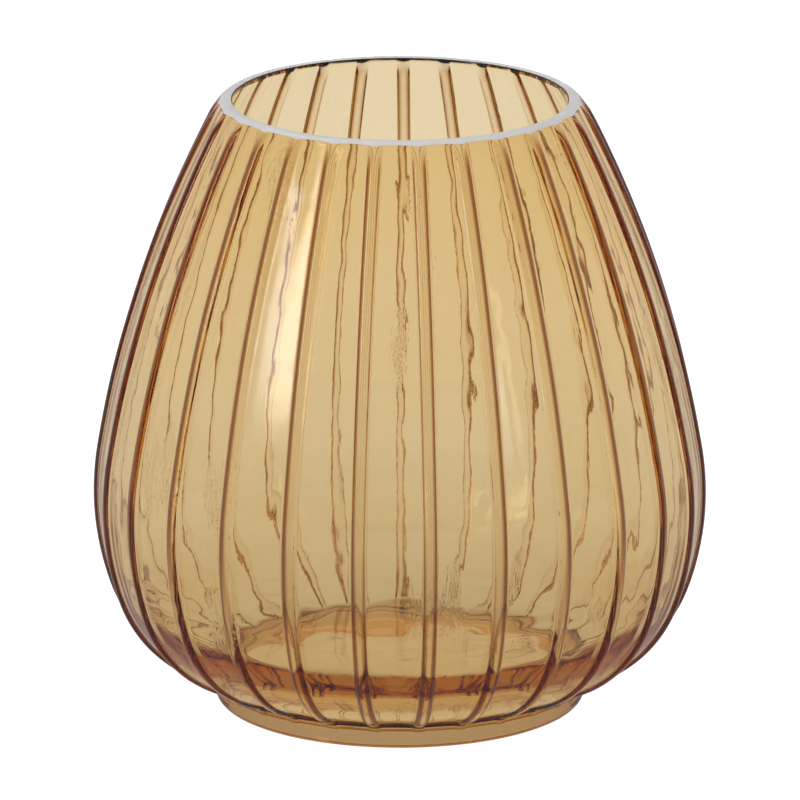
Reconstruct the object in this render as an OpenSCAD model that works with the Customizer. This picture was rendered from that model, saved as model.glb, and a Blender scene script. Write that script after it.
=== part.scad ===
// Ribbed blown-glass vase: a round belly that narrows to a wide, level-cut mouth and
// stands on a smooth round foot pad. Millimetres, +Z up, origin at the centre of the
// resting face, front towards -Y.

/* [Size] */
// Height from the table to the ground rim
height = 240; // [220:1:260]
// Widest part of the belly, measured over the ribs
belly_d = 238; // [232:1:250]
// Height of the widest part of the belly
belly_z = 84.4; // [82:0.1:90]

/* [Curve of the wall] */
// Radius of the arc round the belly
belly_bend = 115; // [110:1:120]
// How far that arc runs up from the widest part, in degrees
shoulder_turn = 9.6; // [7:0.1:12]
// Radius of the long, flat arc of the shoulder
shoulder_bend = 440; // [380:5:600]
// How far the belly arc runs down from the widest part, in degrees
underside_turn = 18.8; // [16:0.1:20]
// Radius of the tight arc under the belly
underside_bend = 57.2; // [56:0.1:60]

/* [Glass] */
// Thickness of the blown wall
wall_t = 4; // [3:0.1:5]
// Thickness of the bowl's floor above the foot pad
floor_t = 3; // [2.5:0.1:6]

/* [Ribs] */
// Number of ribs
rib_count = 27; // [12:1:32]
// How far a rib stands out of the wall
rib_h = 1.3; // [1:0.1:2]
// Radius of a rib's gently rounded flanks
rib_round = 9.5; // [8.5:0.1:10.5]
// How far each flank's centre lies past the middle of the rib, which makes its ridge
rib_ridge = 3.3; // [2.9:0.1:3.7]
// Turn of the first rib from the front, in degrees
rib_turn = 5.6; // [0:0.1:13]

/* [Foot] */
// Width of the foot pad
foot_d = 144; // [140:1:150]
// Rounding of the pad's lower edge
foot_round = 3.5; // [2:0.5:4]
// Width of the ring that the pad stands on, its rounding included
foot_ring = 6.5; // [5:0.5:12]
// Thickness of the pad over the hollow inside that ring
pad_t = 1; // [0.8:0.1:3]
// Rounding between the ring and the hollow's ceiling
hollow_round = 4; // [2:0.5:4]

/* [Rim] */
// Height of the ground lip
lip_h = 2.4; // [2:0.1:4]
// Bevel on the outer edge of the lip
lip_bevel_out = 1.1; // [0.4:0.1:1.4]
// Bevel on the inner edge of the lip
lip_bevel_in = 0.5; // [0.2:0.1:0.8]

/* [Hidden] */
$fn = 256;

belly_r = belly_d / 2 - rib_h;
foot_r = foot_d / 2;
lip_z = height - lip_h;
blank_depth = 20; // depth of wall taken out of a rib blank
cover_gap = 0.3; // how far that cut's seam cover lies inside its faces
seam_lap = 3; // degrees that the cover runs past each seam

// Centres of the arcs of the outer face, in the plane through the axis
belly_c = [belly_r - belly_bend, belly_z];
shoulder_c = belly_c + (belly_bend - shoulder_bend) * ray(shoulder_turn);
underside_c = belly_c + (belly_bend - underside_bend) * ray(-underside_turn);

// The wall comes down on the pad where its outer face reaches the pad's edge
foot_z = underside_c[1] - sqrt(pow(underside_bend, 2) - pow(foot_r - underside_c[0], 2));
hollow_depth = foot_z - pad_t;

amber = [0.80, 0.62, 0.33, 0.6];
deep_amber = [0.72, 0.48, 0.22, 0.6];
ground = [0.90, 0.88, 0.86, 0.9];

// Unit vector at angle a
function ray(a) = [cos(a), sin(a)];

// Radius of the shoulder at height z, h outside the wall's outer face
function shoulder_r(z, h = 0) =
    shoulder_c[0] + sqrt(pow(shoulder_bend + h, 2) - pow(z - shoulder_c[1], 2));

// Everything on one side of the seam that is turned by a from the widest part of the belly:
// above it for side = 1, below it for side = -1
module beyond(a, side) {
    translate(belly_c)
        rotate(a)
            translate([0, side > 0 ? 0 : -height])
                square([belly_d, height]);
}

// Ring t thick inwards from a circle of radius r that touches the belly's arc at the angle a
module tangent_ring(a, r, t) {
    translate(belly_c)
        rotate(a)
            translate([belly_bend - r, 0])
                difference() {
                    circle(r);
                    circle(r - t);
                }
}

// Cross-section of the wall from the foot up to the height top, t thick inwards
module wall_section(t, top) {
    intersection() {
        tangent_ring(shoulder_turn, shoulder_bend, t);
        beyond(shoulder_turn, 1);
        square([belly_d, top]);
    }
    intersection() {
        tangent_ring(0, belly_bend, t);
        beyond(shoulder_turn, -1);
        beyond(-underside_turn, 1);
    }
    intersection() {
        tangent_ring(-underside_turn, underside_bend, t);
        beyond(-underside_turn, -1);
        translate([underside_c[0], foot_z])
            square([belly_d, height]);
    }
}

// The blown wall of the bowl, open under the lip and standing on the foot pad
module bowl_wall() {
    color(amber)
        rotate_extrude()
            wall_section(wall_t, lip_z);
}

// Cross-section of a rib blank on a wall whose face is at the distance x: two gently rounded
// flanks that meet in a soft ridge
module rib_section(x) {
    flank_x = x + rib_h - sqrt(pow(rib_round, 2) - pow(rib_ridge, 2));
    intersection() {
        translate([flank_x, rib_ridge])
            circle(rib_round);
        translate([flank_x, -rib_ridge])
            circle(rib_round);
    }
}

// Part of a rib blank: its section bent to radius r, from the seam at a on through the angle span
module bent_bar(a, r, span) {
    translate([belly_c[0], 0, belly_c[1]])
        rotate([0, -a, 0])
            translate([belly_bend - r, 0, 0])
                rotate([90, 0, 0])
                    rotate_extrude(angle = span)
                        rib_section(r);
}

// One rib blank, following the wall from over the rim to inside the foot
module rib_blank() {
    bent_bar(shoulder_turn, shoulder_bend, 22);
    bent_bar(-underside_turn, belly_bend, shoulder_turn + underside_turn);
    bent_bar(-underside_turn, underside_bend, -68);
}

// Ring just inside the wall's face that laps over the seams between its arcs, so that a cut
// made with the wall leaves nothing in them
module seam_cover() {
    intersection() {
        translate(belly_c)
            difference() {
                circle(belly_bend - cover_gap);
                circle(belly_bend - blank_depth + cover_gap);
            }
        beyond(shoulder_turn + seam_lap, -1);
        beyond(-underside_turn - seam_lap, 1);
    }
}

// The ribs that the mould leaves on the wall, evenly round it
module optic_ribs() {
    color(deep_amber)
        difference() {
            for (i = [0:rib_count - 1])
                rotate([0, 0, -90 + rib_turn + 360 * i / rib_count])
                    rib_blank();
            rotate_extrude() {
                wall_section(blank_depth, height);
                square([foot_r, foot_z]);
                seam_cover();
            }
            translate([0, 0, height - lip_bevel_out])
                cylinder(r = belly_r, h = height);
        }
}

// The floor inside the bowl, filling its lowest part
module bowl_floor() {
    color(amber)
        rotate_extrude() {
            translate([0, foot_z])
                square([underside_c[0], floor_t]);
            intersection() {
                translate(belly_c)
                    rotate(-underside_turn)
                        translate([belly_bend - underside_bend, 0])
                            circle(underside_bend - wall_t);
                translate([underside_c[0], foot_z])
                    square([belly_r, floor_t]);
            }
        }
}

// The foot: a round pad joined hot to the bowl, its lower edge rounded and its underside
// hollowed out, so that it stands on a ring
module foot_pad() {
    color(deep_amber)
        rotate_extrude()
            difference() {
                rounded_block(foot_r, foot_round, foot_z);
                translate([0, hollow_depth])
                    mirror([0, 1])
                        rounded_block(foot_r - foot_ring, hollow_round, height);
            }
}

// Block r wide and h high beside the axis, its lower outer corner rounded
module rounded_block(r, round, h) {
    translate([0, round])
        square([r, h - round]);
    square([r - round, h]);
    translate([r - round, round])
        circle(round);
}

// Everything above the line through a and b, given from left to right
module over_line(a, b) {
    translate(a)
        rotate(atan2(b[1] - a[1], b[0] - a[0]))
            translate([-lip_h, 0])
                square([4 * lip_h, 2 * lip_h]);
}

// The lip: cut level, ground flat and bevelled on both edges
module ground_lip() {
    out_z = height - lip_bevel_out;
    in_z = height - lip_bevel_in;
    color(ground)
        rotate_extrude()
            difference() {
                intersection() {
                    tangent_ring(shoulder_turn, shoulder_bend, wall_t);
                    translate([0, lip_z])
                        square([belly_r, lip_h]);
                }
                over_line([shoulder_r(height) - lip_bevel_out, height],
                          [shoulder_r(out_z), out_z]);
                over_line([shoulder_r(in_z, -wall_t), in_z],
                          [shoulder_r(height, -wall_t) + lip_bevel_in, height]);
            }
}

bowl_wall();
optic_ribs();
bowl_floor();
foot_pad();
ground_lip();
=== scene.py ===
"""A hand-blown ribbed amber glass vase with a ground rim, on a white studio table."""

import math

import bpy
import numpy as np
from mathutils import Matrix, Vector


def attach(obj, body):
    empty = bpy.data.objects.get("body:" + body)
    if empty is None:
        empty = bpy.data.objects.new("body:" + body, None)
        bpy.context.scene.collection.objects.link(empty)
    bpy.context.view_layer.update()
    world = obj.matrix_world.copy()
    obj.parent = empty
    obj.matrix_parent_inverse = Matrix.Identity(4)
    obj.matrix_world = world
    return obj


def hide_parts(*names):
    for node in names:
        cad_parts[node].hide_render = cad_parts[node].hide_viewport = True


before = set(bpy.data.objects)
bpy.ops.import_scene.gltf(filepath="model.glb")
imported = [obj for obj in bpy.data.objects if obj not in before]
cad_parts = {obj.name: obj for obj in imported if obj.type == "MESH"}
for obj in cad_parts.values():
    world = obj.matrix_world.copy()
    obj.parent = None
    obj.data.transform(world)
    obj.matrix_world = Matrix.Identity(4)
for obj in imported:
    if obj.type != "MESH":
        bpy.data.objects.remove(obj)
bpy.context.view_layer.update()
scene = bpy.context.scene

MM = 0.001

# ---------------------------------------------------------------- camera
# what it looks at, how far from it and how far above it in radians, and its optics in mm
TARGET, DISTANCE, TILT = Vector((0, 0, 0.1194)), 3.877, 0.276
LENS, SENSOR = 450, 36

cam = bpy.data.objects.new("camera", bpy.data.cameras.new("camera"))
scene.collection.objects.link(cam)
scene.camera = cam
cam.data.lens = LENS
cam.data.sensor_width = SENSOR
cam.data.clip_end = 100
cam.location = TARGET + DISTANCE * Vector((0, -math.cos(TILT), math.sin(TILT)))
cam.rotation_mode = "QUATERNION"
cam.rotation_quaternion = (TARGET - cam.location).to_track_quat("-Z", "Y")

# ---------------------------------------------------------------- dimensions
# Millimetres. The outer face between the ribs follows the same arcs as the solids.
HEIGHT = 240.0
BELLY_R, BELLY_Z = 117.7, 84.4
BELLY_BEND, SHOULDER_BEND, UNDER_BEND = 115.0, 440.0, 57.2
SHOULDER_TURN, UNDER_TURN = math.radians(9.6), math.radians(18.8)
MEAN_R = 105.0  # radius at which a ripple's waves have their stated length

# thickness of the blown wall at some heights: thin over the belly, thick at rim and heel
WALL_Z = (10, 18, 28, 36, 46, 60, 92, 130, 150, 185, 205, 225, 245)
WALL_T = (3.6, 3.9, 4.6, 4.4, 3.7, 3.3, 2.9, 2.9, 3.2, 3.9, 4.3, 4.4, 4.2)
WALL_BLEND = 9  # how far up and down that thickness is evened out
# the heel is thicker still towards the front, as the glass sagged there
HEEL_T, HEEL_Z, HEEL_WIDE, HEEL_EASE = 5.0, 27.0, 9.0, 8
FLOOR_T, FLOOR_DOME = 3.0, 0.6
BEND_REACH, BEND_IN = 2.6, 0.8  # the rounding between floor and wall

RIBS, RIB_H, RIB_TURN = 27, 1.3, math.radians(5.6)
RIB_HALF, RIB_BLUNT = 2.45, 0.62  # half of a rib's width, and how blunt its section is
WELT_H, WELT_AT, WELT_WIDE = 0.1, 2.5, 0.4  # the slight swelling along a rib's edges
FLUTE_H, FLUTE_WIDE = 0.2, 5.5  # the trace of a rib on the inner face
FLATTEN = 0.35  # how far the middle of a panel lies inside the round
# the unevenness dies down over this much of the inner face's two ends and of the outer face's top
EASE_FLOOR, EASE_RIM, EASE_OUT = 14, 16, 12
# above this height only a share of the inner swell is left, blending in below it
CALM, CALM_Z, CALM_BLEND = 0.35, 125, 55
# the tide lines' least share, and the height below which they grow to their full strength
TIDE_LEAST, TIDE_Z, TIDE_BLEND = 0.25, 78, 30
# the part of the inner swell's waves that the floor takes, its strength, and how that falls off
FLOOR_AT, FLOOR_SPAN, FLOOR_SWELL, FLOOR_FALL = 300, 60, 1.2, 0.6
STRIAE_SHIFT = 40  # how far along its waves the outer face takes up the striae
# share of the ribs and of the flattening left at the rim, and how far down they are whole
RIB_LEFT, RIB_WHOLE = 0.15, 10
FLAT_LEFT, FLAT_WHOLE = 0.4, 25
# the ribs' deep colour, partly painted shade: its outer edge, where a flank begins, each with the
# width over which it blends, the height from which it covers the whole rib, and how far below the
# rim it is whole
DEEP_SHADE_EDGE, DEEP_SHADE_BLEND = 2.9, 0.5
FLANK_EDGE, FLANK_BLEND = 0.5, 0.8
COVER_Z, COVER_BLEND = 45, 50
DEEP_SHADE_WHOLE = 12

FOOT_R, FOOT_ROUND = 72.0, 3.5
HOLLOW_R, HOLLOW_ROUND, HOLLOW_DRAFT = 65.5, 4.0, 0.3
PAD_T, CEILING_DOME = 1.0, 0.3
FOOT_DEEP = 0.42  # depth of colour on the foot, where a rib seen at a slant has 1

BEVEL_OUT, BEVEL_IN = 1.1, 0.5
CHIP_TURN, CHIP_WIDE = math.radians(109.5), 0.022  # a small chip in the rim's outer edge
CHIP_R, CHIP_Z, CHIP_BEVEL = 0.9, 0.7, 0.3  # its depth inwards, down and into the bevel
SKIN = 0.1  # depth of the ground surface on the rim
EDGE = 0.03  # width of the narrow rows beside the rim's edges, in mm and as a share of the land
BEVEL_EDGE = 0.05  # height of the narrow row above the outer bevel's lower edge
LEAN_ROWS = 6  # rows below the rim that the wall's lean is measured over
ROW_FALL = 0.12  # least height from row to row under the outer bevel

PITCH = 2 * math.pi / RIBS
ROW_STEP = 2.2  # about how far apart the mesh's rows lie along the wall
# distances of the mesh's columns from a rib's middle, and how many lie between two ribs
OVER_RIB = np.array([0.5, 1.0, 1.45, 1.85, 2.15, 2.4, 2.65, 3.0, 3.6])
OVER_RIB = np.concatenate([-OVER_RIB[::-1], [0.0], OVER_RIB])
BETWEEN_RIBS = 8
RIM_COLUMNS, FOOT_COLUMNS = 70.0, 71.0  # radii at which the columns keep those distances
RIB_SHARE = 0.36  # largest share of the pitch that the columns on each side of a rib take
INNER_START, OUTER_START = HEIGHT + 4, HEIGHT + 2  # the lines start here and are cut at the rim


def ray(a):
    """Unit vector at angle a, in the plane through the axis."""
    return np.array([math.cos(a), math.sin(a)])


belly_c = np.array([BELLY_R - BELLY_BEND, BELLY_Z])
shoulder_c = belly_c + (BELLY_BEND - SHOULDER_BEND) * ray(SHOULDER_TURN)
under_c = belly_c + (BELLY_BEND - UNDER_BEND) * ray(-UNDER_TURN)
FOOT_Z = under_c[1] - math.sqrt(UNDER_BEND**2 - (FOOT_R - under_c[0]) ** 2)
FLOOR_Z = FOOT_Z + FLOOR_T
HOLLOW_D = FOOT_Z - PAD_T
LAND = HEIGHT - SKIN


# ---------------------------------------------------------------- outlines
def smooth(x):
    """A smooth step: 0 up to x = 0, and 1 from x = 1 on."""
    x = np.clip(x, 0.0, 1.0)
    return x * x * (3 - 2 * x)


def outer_line(z_top):
    """Points and outward normals of the wall's outer face, from z_top down to the foot."""
    a_top = math.asin((z_top - shoulder_c[1]) / SHOULDER_BEND)
    a_foot = math.asin((FOOT_Z - under_c[1]) / UNDER_BEND)
    points, normals = [], []
    for c, r, a0, a1 in (
        (shoulder_c, SHOULDER_BEND, a_top, SHOULDER_TURN),
        (belly_c, BELLY_BEND, SHOULDER_TURN, -UNDER_TURN),
        (under_c, UNDER_BEND, -UNDER_TURN, a_foot),
    ):
        count = int(math.ceil((a0 - a1) * r / ROW_STEP))
        a = a0 + (a1 - a0) * np.arange(count) / count
        d = np.stack([np.cos(a), np.sin(a)], 1)
        points.append(c + r * d)
        normals.append(d)
    return np.vstack(points), np.vstack(normals)


def wall_at(z):
    """Thickness of the wall at height z."""
    z = np.asarray(z)[..., None] + np.linspace(-WALL_BLEND, WALL_BLEND, 7)
    return np.interp(z, WALL_Z, WALL_T).mean(-1)


def along(points):
    """How far each point lies along the line from its first one."""
    return np.concatenate([[0], np.cumsum(np.hypot(*np.diff(points, axis=0).T))])


def cut_at(points, normals, z):
    """The part of a line below the height z, with a point put in at z."""
    i = int(np.argmax(points[:, 1] < z))
    f = (z - points[i, 1]) / (points[i - 1, 1] - points[i, 1])
    p = points[i] + f * (points[i - 1] - points[i])
    return np.vstack([p, points[i:]]), np.vstack([normals[i], normals[i:]])


# ---------------------------------------------------------------- unevenness of blown glass
class Ripple:
    """A smooth unevenness over the wall: a sum of waves that closes round the vase, their
    lengths and their height in mm. Stretch draws it out up and down, widen round the vase."""

    def __init__(self, seed, shortest, longest, height, waves=60, stretch=1.0, widen=1.0):
        rng = np.random.RandomState(seed)
        length = shortest * (longest / shortest) ** rng.rand(waves)
        way = rng.rand(waves) * 2 * math.pi
        self.m = np.round(2 * math.pi / length * np.cos(way) * MEAN_R / widen)
        self.k = 2 * math.pi / length * np.sin(way) / stretch
        self.phase = rng.rand(waves) * 2 * math.pi
        self.amp = height * math.sqrt(2.0 / waves)

    def __call__(self, theta, s):
        out = np.zeros(theta.shape)
        for m, k, p in zip(self.m, self.k, self.phase):
            out += np.cos(m * theta + k * s + p)
        return self.amp * out


outer_ripple = Ripple(seed=3, shortest=9, longest=24, height=0.008)
outer_swell = Ripple(seed=5, shortest=45, longest=110, height=0.06, waves=24)
inner_ripple = Ripple(seed=11, shortest=8, longest=22, height=0.012)
inner_swell = Ripple(seed=17, shortest=30, longest=90, height=0.09, waves=30, stretch=1.6)
striae = Ripple(seed=23, shortest=3.6, longest=9, height=0.0025, waves=40, stretch=14.0)
tide = Ripple(seed=31, shortest=6, longest=16, height=0.05, waves=30, widen=7.0)


# ---------------------------------------------------------------- columns and rows
def columns(r):
    """Angles of the mesh's columns at radius r, and each one's angle from its nearest rib."""
    over = OVER_RIB / max(r, OVER_RIB[-1] / math.sin(PITCH * RIB_SHARE))
    between = np.linspace(over[-1], PITCH - over[-1], BETWEEN_RIBS + 2)[1:-1]
    local = np.concatenate([over, between])
    theta = (np.arange(RIBS)[:, None] * PITCH + local[None, :]).ravel() + RIB_TURN
    return theta, np.tile(np.where(local > PITCH / 2, local - PITCH, local), RIBS)


def stand_off(r, near, below_rim):
    """How far the outer face stands off the round at radius r: ribs and flattened panels. Both
    die down over the last stretch below the rim."""
    d = np.abs(r * np.sin(near))
    rib = RIB_H * np.maximum(0.0, 1 - (d / RIB_HALF) ** 2) ** RIB_BLUNT
    rib = rib + WELT_H * np.exp(-(((d - WELT_AT) / WELT_WIDE) ** 2))
    rib = rib * (RIB_LEFT + (1 - RIB_LEFT) * smooth(below_rim / RIB_WHOLE))
    flat = FLATTEN * (FLAT_LEFT + (1 - FLAT_LEFT) * smooth(below_rim / FLAT_WHOLE))
    return rib - flat * 0.5 * (1 - np.cos(2 * math.pi * near / PITCH))


def deep_at(r, near, below_rim, z):
    """How deep the colour and its painted shade run: 1 on a rib, though low down only on its
    flanks, 0 between ribs.
    """
    d = np.abs(r * np.sin(near))
    flank = smooth((d - FLANK_EDGE) / FLANK_BLEND)
    across = flank + (1 - flank) * smooth((z - COVER_Z) / COVER_BLEND)
    return across * smooth((DEEP_SHADE_EDGE - d) / DEEP_SHADE_BLEND) * smooth(below_rim / DEEP_SHADE_WHOLE)


def ring(r, z, theta):
    """Points round the axis at the angles theta; r and z are numbers or one value for each."""
    r, z = r + np.zeros(theta.shape), z + np.zeros(theta.shape)
    return np.stack([r * np.sin(theta), -r * np.cos(theta), z], 1)


# The skin's rows, and what its material reads on each: how far it is ground, and how deep its
# colour runs, seen at a slant, where on the ribs it is partly painted shade, and seen from anywhere
# (even)
rows, marks = [], {"ground": [], "deep": [], "even": []}


def add_row(r, z, columns_at=RIM_COLUMNS, **given):
    """One ring of the skin; r, z and the marks are numbers or one value for each column."""
    theta, _ = columns(columns_at)
    rows.append(ring(r, z, theta))
    for name, values in marks.items():
        values.append(given.get(name, 0.0) + np.zeros(theta.shape))


# ---------------------------------------------------------------- the skin, row by row
def add_inside():
    """The inner face, from the middle of the floor up to the rim. Gives its radius there."""
    line, normal = outer_line(INNER_START)
    line = line - normal * wall_at(line[:, 1])[:, None]
    line, normal = cut_at(line, normal, LAND - BEVEL_IN)
    inner_rim = line[0, 0]
    keep = line[:, 1] > FLOOR_Z + BEND_REACH
    line, normal = line[keep][::-1], normal[keep][::-1]

    corner = line[0]
    steps = line[1] - line[0]
    edge = np.array([corner[0] - steps[0] / steps[1] * (corner[1] - FLOOR_Z), FLOOR_Z])
    edge[0] -= BEND_IN
    start = np.array([edge[0] - BEND_REACH, FLOOR_Z])

    # the floor, slightly domed and uneven, and the rounding up into the wall
    theta, near = columns(RIM_COLUMNS)
    for f in np.linspace(0.03, 1.0, 26):
        dome = FLOOR_DOME * (1 - f * f)
        swell = inner_swell(theta, FLOOR_AT + FLOOR_SPAN * f + 0 * theta)
        uneven = swell * FLOOR_SWELL * f * (1 - FLOOR_FALL * f)
        add_row(start[0] * f, start[1] + dome + uneven)
    for t in (0.2, 0.4, 0.6, 0.8):
        p = (1 - t) ** 2 * start + 2 * t * (1 - t) * edge + t * t * corner
        add_row(p[0], p[1] + uneven * (1 - t))
    # the wall: its unevenness dies down at both ends, and above the belly it is calmer
    s = along(line)
    for i in range(len(line)):
        r, z = line[i]
        ease = smooth(s[i] / EASE_FLOOR) * smooth((s[-1] - s[i]) / EASE_RIM)
        at = s[i] + 0 * theta
        calm = CALM + (1 - CALM) * smooth((CALM_Z - z) / CALM_BLEND)
        h = (inner_ripple(theta, at) + inner_swell(theta, at) * calm + striae(theta, at)) * ease
        h = h + FLUTE_H * np.exp(-((r * near / FLUTE_WIDE) ** 2)) * ease
        heel = HEEL_T * np.exp(-(((z - HEEL_Z) / HEEL_WIDE) ** 2))
        heel = heel * smooth(s[i] / HEEL_EASE)
        h = h - heel * (0.5 + 0.5 * np.cos(theta))
        # level tide lines, strongest low on the wall
        h = h + tide(theta, at) * ease * (TIDE_LEAST + smooth((TIDE_Z - z) / TIDE_BLEND))
        add_row(r + h * normal[i, 0], z + h * normal[i, 1])
    return inner_rim


def add_rim(land_in, land_out, slope, drop):
    """The rim: inner bevel, level land and outer bevel, all ground but its last row."""
    add_row(land_in - EDGE, LAND - EDGE, ground=1.0)
    for f in (0.0, EDGE, 0.5, 1 - EDGE, 1.0):
        add_row(land_in + (land_out - land_in) * f - CHIP_R * chip * f, LAND, ground=1.0)
    add_row(land_out + EDGE * slope - CHIP_R * chip, LAND - EDGE, ground=1.0)
    add_row(land_out + 0.5 * drop * slope - CHIP_BEVEL * chip, LAND - 0.5 * drop, ground=1.0)
    add_row(land_out + (drop - BEVEL_EDGE) * slope, LAND - drop + BEVEL_EDGE, ground=1.0)
    add_row(land_out + drop * slope, LAND - drop)


def add_outside(line, normal, lean, drop):
    """The outer face, from just under the rim's bevel down to the foot."""
    s = along(line)
    for i in range(1, len(line)):
        theta, near = columns(line[i, 0])
        ease = smooth(s[i] / EASE_OUT)
        at = s[i] + 0 * theta
        uneven = outer_ripple(theta, at) + outer_swell(theta, at)
        uneven = uneven + striae(theta, at + STRIAE_SHIFT)
        h = stand_off(line[i, 0], near, s[i]) + uneven * ease
        r, z = line[i, 0] + h * normal[i, 0], line[i, 1] + h * normal[i, 1]
        # the first rows follow the bevel's edge down where it dips
        under = LAND - drop - ROW_FALL * i
        r = np.where(z > under, r + (z - under) * lean, r)
        # deeper colour on the ribs, partly painted shade
        deep = deep_at(line[i, 0], near, s[i], line[i, 1])
        add_row(r, np.minimum(z, under), line[i, 0], deep=deep)


def add_foot():
    """The foot: a smooth pad, rounded below, with a hollow underneath. Each f is a row's place
    as a share of its stretch, and each a is its angle round a corner."""
    for f in (0.3, 0.65, 1.0):
        add_row(FOOT_R, FOOT_Z - (FOOT_Z - FOOT_ROUND) * f, FOOT_COLUMNS, even=FOOT_DEEP)
    for a in np.linspace(0, math.pi / 2, 9)[1:]:
        r = FOOT_R - FOOT_ROUND * (1 - math.cos(a))
        add_row(r, FOOT_ROUND * (1 - math.sin(a)), FOOT_COLUMNS, even=FOOT_DEEP)
    for f in (0.3, 0.7, 0.95, 1.0):
        add_row(FOOT_R - FOOT_ROUND + (HOLLOW_R - FOOT_R + FOOT_ROUND) * f, 0.0, FOOT_COLUMNS)
    for f in (0.04, 0.4, 0.85):
        add_row(HOLLOW_R - HOLLOW_DRAFT * f, (HOLLOW_D - HOLLOW_ROUND) * f, FOOT_COLUMNS)
    for a in np.linspace(0, math.pi / 2, 8):
        r = HOLLOW_R - HOLLOW_DRAFT - HOLLOW_ROUND * (1 - math.cos(a))
        add_row(r, HOLLOW_D - HOLLOW_ROUND * (1 - math.sin(a)), FOOT_COLUMNS)
    ceiling = HOLLOW_R - HOLLOW_DRAFT - HOLLOW_ROUND
    for f in (0.97, 0.9, 0.8, 0.7, 0.6, 0.5, 0.4, 0.3, 0.2, 0.1, 0.04):
        add_row(ceiling * f, HOLLOW_D + CEILING_DOME * (1 - f * f), FOOT_COLUMNS)


line, normal = outer_line(OUTER_START)
line, normal = cut_at(line, normal, LAND)
theta, near = columns(RIM_COLUMNS)
from_chip = (theta - CHIP_TURN + math.pi) % (2 * math.pi) - math.pi
chip = np.exp(-((from_chip / CHIP_WIDE) ** 2))
# the outer bevel is a cone, so that its lower edge dips where it cuts a rib
lean = (line[LEAN_ROWS, 0] - line[0, 0]) / (LAND - line[LEAN_ROWS, 1])
slope = 1 + lean
drop = BEVEL_OUT + stand_off(line[0, 0], near, 0.0) / normal[0, 0] + CHIP_Z * chip
land_in = add_inside() + BEVEL_IN
land_out = line[0, 0] - BEVEL_OUT
add_rim(land_in, land_out, slope, drop)
add_outside(line, normal, lean, drop)
add_foot()


# ---------------------------------------------------------------- meshes
def new_object(name, points, faces):
    """A smooth-shaded mesh object from points in millimetres and arrays of faces."""
    mesh = bpy.data.meshes.new(name)
    loops = np.concatenate([f.ravel() for f in faces]).astype(np.int32)
    sizes = np.concatenate([np.full(len(f), f.shape[1]) for f in faces])
    mesh.vertices.add(len(points))
    mesh.vertices.foreach_set("co", (points * MM).ravel())
    mesh.loops.add(len(loops))
    mesh.loops.foreach_set("vertex_index", loops)
    mesh.polygons.add(len(sizes))
    mesh.polygons.foreach_set("loop_start", (np.cumsum(sizes) - sizes).astype(np.int32))
    mesh.update(calc_edges=True)
    mesh.shade_smooth()
    made = bpy.data.objects.new(name, mesh)
    scene.collection.objects.link(made)
    return made


def bands(n, count, closed):
    """Four-cornered faces between neighbouring rows of n points each."""
    i = np.arange(count if closed else count - 1)[:, None] * n
    j = ((np.arange(count if closed else count - 1) + 1) % count)[:, None] * n
    a = np.arange(n)[None, :]
    b = (a + 1) % n
    return np.stack([i + a, j + a, j + b, i + b], 2).reshape(-1, 4)


def glass_body():
    """The closed skin: the rows, and a fan of faces over the middle of the floor and ceiling."""
    n = len(rows[0])
    last = (len(rows) - 1) * n
    a = np.arange(n)
    b = (a + 1) % n
    middles = [[(0, 0, FLOOR_Z + FLOOR_DOME)], [(0, 0, HOLLOW_D + CEILING_DOME)]]
    points = np.vstack(rows + middles)
    caps = np.vstack(
        [
            np.stack([np.full(n, len(points) - 2), a, b], 1),
            np.stack([np.full(n, len(points) - 1), last + b, last + a], 1),
        ]
    )
    made = new_object("glass_body", points, [bands(n, len(rows), False), caps])
    for name, values in marks.items():
        values = np.concatenate(values + [[0.0, 0.0]]).astype(np.float32)
        made.data.attributes.new(name, "FLOAT", "POINT").data.foreach_set("value", values)
    return made


def ground_rim():
    """The ground surface: a thin ring that lies on the land and the outer bevel."""
    lift, push = 0.012, 0.7 * SKIN  # how far its back and its front lie off the glass
    tuck, gap, tip = 0.06, 0.02, 0.05  # how far it ends inside the bevel, and its lower end
    outline = []  # over the land, down over the bevel, and back close above the glass
    across = ((0.0, lift), (0.0, push), (EDGE, SKIN), (1 - EDGE, SKIN), (1.0, SKIN))
    for share, up in across:
        r = land_in + EDGE + (land_out - land_in - EDGE) * share - CHIP_R * chip * share
        outline.append((r, LAND + up))
    out_r, out_z = land_out + (drop - tuck) * slope, LAND - drop + tuck
    outline.append((land_out + tuck * slope + push - CHIP_R * chip, LAND - tuck + push))
    outline.append((out_r + push, out_z + push))
    outline.append((out_r + push + gap, out_z + push - tip))
    outline.append((out_r + gap, out_z + gap))
    outline.append((land_out + gap - CHIP_R * chip, LAND + lift))
    points = np.vstack([ring(r, z, theta) for r, z in outline])
    return new_object("ground_rim", points, [bands(len(theta), len(outline), True)])


glass = glass_body()
rim = ground_rim()


# ---------------------------------------------------------------- materials
def material(name):
    m = bpy.data.materials.new(name)
    m.use_nodes = True
    nt = m.node_tree
    return m, nt, nt.nodes["Principled BSDF"], nt.nodes["Material Output"]


def node(nt, kind, **values):
    """A new node; a value goes to the property of that name, or else to the input."""
    made = nt.nodes.new(kind)
    for name, value in values.items():
        if hasattr(made, name):
            setattr(made, name, value)
        else:
            made.inputs[name].default_value = value
    return made


def link(source, output, target, name):
    """Joins a node's output to the input of that name or number on another node."""
    source.id_data.links.new(source.outputs[output], target.inputs[name])


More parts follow.
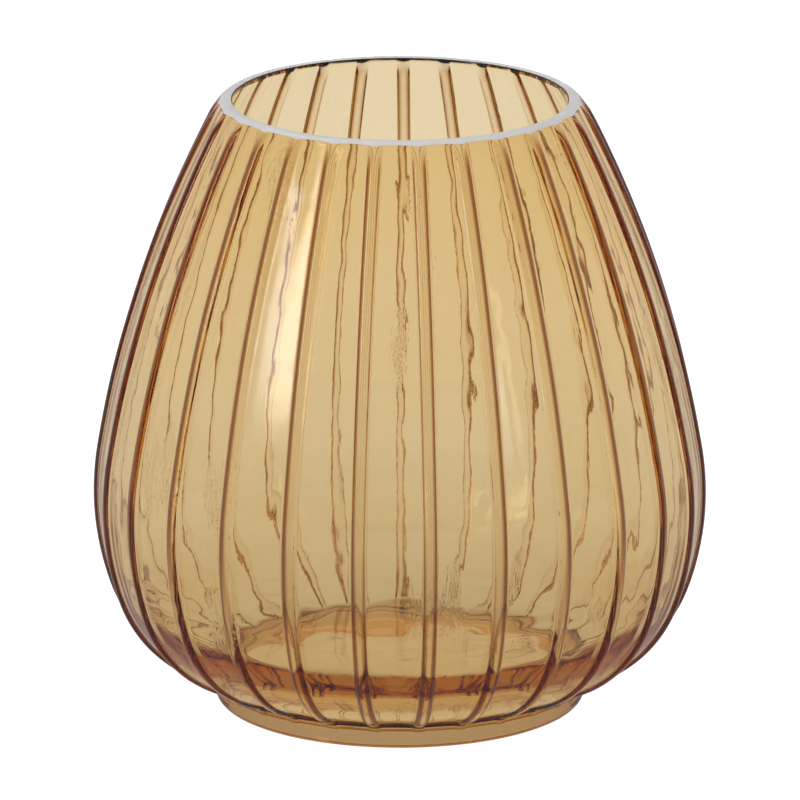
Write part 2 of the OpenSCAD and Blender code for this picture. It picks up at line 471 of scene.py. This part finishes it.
def tint_and_rib_shade(nt):
    """The glass's colour by how deep it runs, with painted shade on the ribs: pale amber, amber,
    dark brown.
    """
    tint = node(nt, "ShaderNodeValToRGB")
    tint.color_ramp.elements.new(0.5)
    shades = (0.963, 0.895, 0.755), (0.5, 0.25, 0.09), (0.13, 0.03, 0.008)
    for stop, shade in zip(tint.color_ramp.elements, shades):
        stop.color = (*shade, 1)
    # a slanting look through a rib passes more glass, so its colour runs deeper there; the dark
    # brown it reaches on the flanks is partly painted shade
    rib_shade = node(nt, "ShaderNodeAttribute", attribute_name="deep")
    slant = node(nt, "ShaderNodeLayerWeight", Blend=0.5)
    run = node(nt, "ShaderNodeMapRange", **{"From Min": 0.07, "From Max": 0.27, "To Min": 0.08})
    depth_and_shade = node(nt, "ShaderNodeMath", operation="MULTIPLY")
    foot = node(nt, "ShaderNodeAttribute", attribute_name="even")
    most = node(nt, "ShaderNodeMath", operation="MAXIMUM")
    link(slant, "Facing", run, "Value")
    link(rib_shade, "Fac", depth_and_shade, 0)
    link(run, "Result", depth_and_shade, 1)
    link(depth_and_shade, "Value", most, 0)
    link(foot, "Fac", most, 1)
    link(most, "Value", tint, "Fac")
    return tint


def blown_surface(nt):
    """Fine cords and patches of crackle that the blowing left in the surface, drawn out upwards."""
    where = node(nt, "ShaderNodeTexCoord")
    drawn = node(nt, "ShaderNodeMapping", Scale=(1, 1, 0.16))
    cords = node(nt, "ShaderNodeTexNoise", Scale=420.0, Detail=3.0, Distortion=0.5)
    patch = node(nt, "ShaderNodeMapping", Scale=(1, 1, 0.4))
    spots = node(nt, "ShaderNodeTexNoise", Scale=34.0, Detail=1.0)
    some = node(nt, "ShaderNodeMapRange", **{"From Min": 0.6, "From Max": 0.7, "To Min": 0.03})
    some.interpolation_type = "SMOOTHSTEP"
    tall = node(nt, "ShaderNodeMath", operation="MULTIPLY")
    bump = node(nt, "ShaderNodeBump", Strength=1.0, Distance=0.0002)
    link(where, "Object", drawn, "Vector")
    link(where, "Object", patch, "Vector")
    link(drawn, "Vector", cords, "Vector")
    link(patch, "Vector", spots, "Vector")
    link(spots, "Fac", some, "Value")
    link(cords, "Fac", tall, 0)
    link(some, "Result", tall, 1)
    link(tall, "Value", bump, "Height")
    return bump


def amber_glass():
    """Clear amber glass, its colour partly inside and partly at its surface, where the ribs carry
    painted shade, matt where ground.
    """
    m, nt, p, out = material("amber_glass")
    p.inputs["Transmission Weight"].default_value = 1.0
    p.inputs["IOR"].default_value = 1.5
    lip = node(nt, "ShaderNodeAttribute", attribute_name="ground")
    rough = node(nt, "ShaderNodeMapRange", **{"To Min": 0.0, "To Max": 0.55})
    inside = node(nt, "ShaderNodeVolumeAbsorption", Color=(0.875, 0.635, 0.05, 1), Density=108.0)
    link(tint_and_rib_shade(nt), "Color", p, "Base Color")
    link(lip, "Fac", rough, "Value")
    link(rough, "Result", p, "Roughness")
    link(blown_surface(nt), "Normal", p, "Normal")
    link(inside, "Volume", out, "Volume")
    return m


def ground_glass():
    """The marks of the grinding wheel: fine pits over slow cloudy patches."""
    m, nt, p, _ = material("ground_glass")
    p.inputs["Transmission Weight"].default_value = 0.35
    p.inputs["IOR"].default_value = 1.3
    where = node(nt, "ShaderNodeTexCoord")
    pits = node(nt, "ShaderNodeTexNoise", Scale=2600.0, Detail=2.0)
    clouds = node(nt, "ShaderNodeTexNoise", Scale=60.0, Detail=3.0)
    worn = node(nt, "ShaderNodeMapRange", **{"From Min": 0.3, "From Max": 0.7})
    worn.inputs["To Min"].default_value = 0.6
    worn.inputs["To Max"].default_value = 0.9
    pale = node(nt, "ShaderNodeMix", data_type="RGBA")
    pale.inputs[6].default_value = (0.80, 0.79, 0.78, 1)
    pale.inputs[7].default_value = (0.92, 0.92, 0.92, 1)
    bump = node(nt, "ShaderNodeBump", Strength=0.6, Distance=0.00006)
    link(where, "Object", pits, "Vector")
    link(where, "Object", clouds, "Vector")
    link(clouds, "Fac", worn, "Value")
    link(clouds, "Fac", pale, 0)
    link(worn, "Result", p, "Roughness")
    link(pale, 2, p, "Base Color")
    link(pits, "Fac", bump, "Height")
    link(bump, "Normal", p, "Normal")
    return m


glass.data.materials.append(amber_glass())
rim.data.materials.append(ground_glass())

# ---------------------------------------------------------------- stage
# how strongly the table glows at some distances in metres from the vase's foot; the dip near and
# under the vase is a painted soft shadow
TABLE_GLOW_AND_SHADOW = (
    (0.0, 0.5),
    (0.03, 0.54),
    (0.065, 0.5),
    (0.085, 0.42),
    (0.25, 0.46),
    (0.45, 0.56),
    (0.7, 0.63),
    (1.0, 0.65),
)
TABLE_MIRRORED = 0.25  # how strongly it glows in rays that the glass mirrors
ROOM = 0.84  # brightness of the studio, except in rays that the glass mirrors
TABLE_DROP = 0.0002  # how far the table lies under the foot, in metres
LAMPS_AIM = Vector((0, 0, 0.14))  # the point that the lamps face


def mirrored_rays(nt):
    """The light path, and a node that gives 1 for a ray that a surface mirrored."""
    path = node(nt, "ShaderNodeLightPath")
    mirrored = node(nt, "ShaderNodeMath", operation="MULTIPLY")
    link(path, "Is Glossy Ray", mirrored, 0)
    link(path, "Is Reflection Ray", mirrored, 1)
    return path, mirrored


def table_material():
    """A table that is white to the camera and glows, so that the vase has no shadow there; to other
    rays its glow dips near and under the vase, a painted soft shadow.
    """
    m, nt, p, _ = material("floor")
    p.inputs["Base Color"].default_value = (0.3, 0.3, 0.3, 1)
    p.inputs["Roughness"].default_value = 1.0
    p.inputs["Specular IOR Level"].default_value = 0.0
    p.inputs["Emission Color"].default_value = (1, 1, 1, 1)
    where = node(nt, "ShaderNodeTexCoord")
    far = node(nt, "ShaderNodeVectorMath", operation="LENGTH")
    span = node(nt, "ShaderNodeMapRange")  # keeps to the curve's length, 0 to 1 m
    # the glow by distance, with a painted soft shadow near and under the vase
    shade = node(nt, "ShaderNodeFloatCurve")
    curve = shade.mapping.curves[0]
    curve.points[0].location = TABLE_GLOW_AND_SHADOW[0]
    curve.points[-1].location = TABLE_GLOW_AND_SHADOW[-1]
    for at in TABLE_GLOW_AND_SHADOW[1:-1]:
        curve.points.new(*at)
    shade.mapping.update()
    path, mirrored = mirrored_rays(nt)
    dim = node(nt, "ShaderNodeMix", B=TABLE_MIRRORED)
    glow = node(nt, "ShaderNodeMix", B=1.0)
    link(where, "Object", far, 0)
    link(far, "Value", span, "Value")
    link(span, "Result", shade, "Value")
    link(mirrored, "Value", dim, "Factor")
    link(shade, "Value", dim, "A")
    link(path, "Is Camera Ray", glow, "Factor")
    link(dim, "Result", glow, "A")
    link(glow, "Result", p, "Emission Strength")
    return m


def studio():
    """An even, pale studio; in the glass's mirrored rays it is darker, most of all in front."""
    world = bpy.data.worlds.new("studio")
    world.use_nodes = True
    nt = world.node_tree
    background = nt.nodes["Background"]
    background.inputs["Color"].default_value = (1, 1, 1, 1)
    where = node(nt, "ShaderNodeTexCoord")
    part = node(nt, "ShaderNodeSeparateXYZ")
    back = node(nt, "ShaderNodeMapRange", **{"From Min": -0.3, "From Max": 0.9})
    back.inputs["To Min"].default_value = 0.2
    back.inputs["To Max"].default_value = 0.75
    back.interpolation_type = "SMOOTHSTEP"
    _, mirrored = mirrored_rays(nt)
    mix = node(nt, "ShaderNodeMix", A=ROOM)
    link(where, "Generated", part, "Vector")
    link(part, "Y", back, "Value")
    link(mirrored, "Value", mix, "Factor")
    link(back, "Result", mix, "B")
    link(mix, "Result", background, "Strength")
    return world


def softbox(name, azimuth, distance, height, wide, tall, radiance):
    """An upright area light that faces the vase, at an azimuth from the front towards +X."""
    a = math.radians(azimuth)
    lamp = bpy.data.lights.new(name, "AREA")
    lamp.shape = "RECTANGLE"
    lamp.size, lamp.size_y = wide, tall
    lamp.energy = radiance * math.pi * wide * tall
    made = bpy.data.objects.new(name, lamp)
    scene.collection.objects.link(made)
    made.location = (distance * math.sin(a), -distance * math.cos(a), height)
    made.rotation_mode = "QUATERNION"
    made.rotation_quaternion = (LAMPS_AIM - made.location).to_track_quat("-Z", "Y")
    made.visible_camera = False
    # bright in the middle, fading to dark at the edges
    lamp.use_nodes = True
    nt = lamp.node_tree
    place = node(nt, "ShaderNodeNewGeometry")
    across = node(nt, "ShaderNodeSeparateXYZ")
    both = node(nt, "ShaderNodeMath", operation="MULTIPLY")
    link(place, "Parametric", across, "Vector")
    for i, axis in enumerate(("X", "Y")):
        off = node(nt, "ShaderNodeMath", operation="SUBTRACT")
        off.inputs[1].default_value = 0.5
        away = node(nt, "ShaderNodeMath", operation="ABSOLUTE")
        fade = node(nt, "ShaderNodeMapRange", **{"From Min": 0.5, "From Max": 0.2})
        fade.interpolation_type = "SMOOTHSTEP"
        link(across, axis, off, 0)
        link(off, "Value", away, 0)
        link(away, "Value", fade, "Value")
        link(fade, "Result", both, i)
    link(both, "Value", nt.nodes["Emission"], "Strength")


bpy.ops.mesh.primitive_circle_add(vertices=96, radius=6.0, fill_type="NGON")
floor = bpy.context.object
floor.name = "floor"
floor.location.z = -TABLE_DROP
floor.data.materials.append(table_material())

scene.world = studio()
softbox("key", azimuth=-52, distance=1.6, height=0.84, wide=0.36, tall=1.15, radiance=6.0)
softbox("fill", azimuth=47, distance=1.8, height=0.75, wide=0.12, tall=1.1, radiance=3.0)

scene.view_settings.view_transform = "Standard"
scene.cycles.max_bounces = 32
scene.cycles.transmission_bounces = 32
scene.cycles.glossy_bounces = 12
scene.cycles.use_denoising = True

# ---------------------------------------------------------------- pieces and bodies
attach(glass, "root")
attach(rim, "root")
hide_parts("bowl_wall", "optic_ribs", "bowl_floor", "foot_pad")
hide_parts("ground_lip")
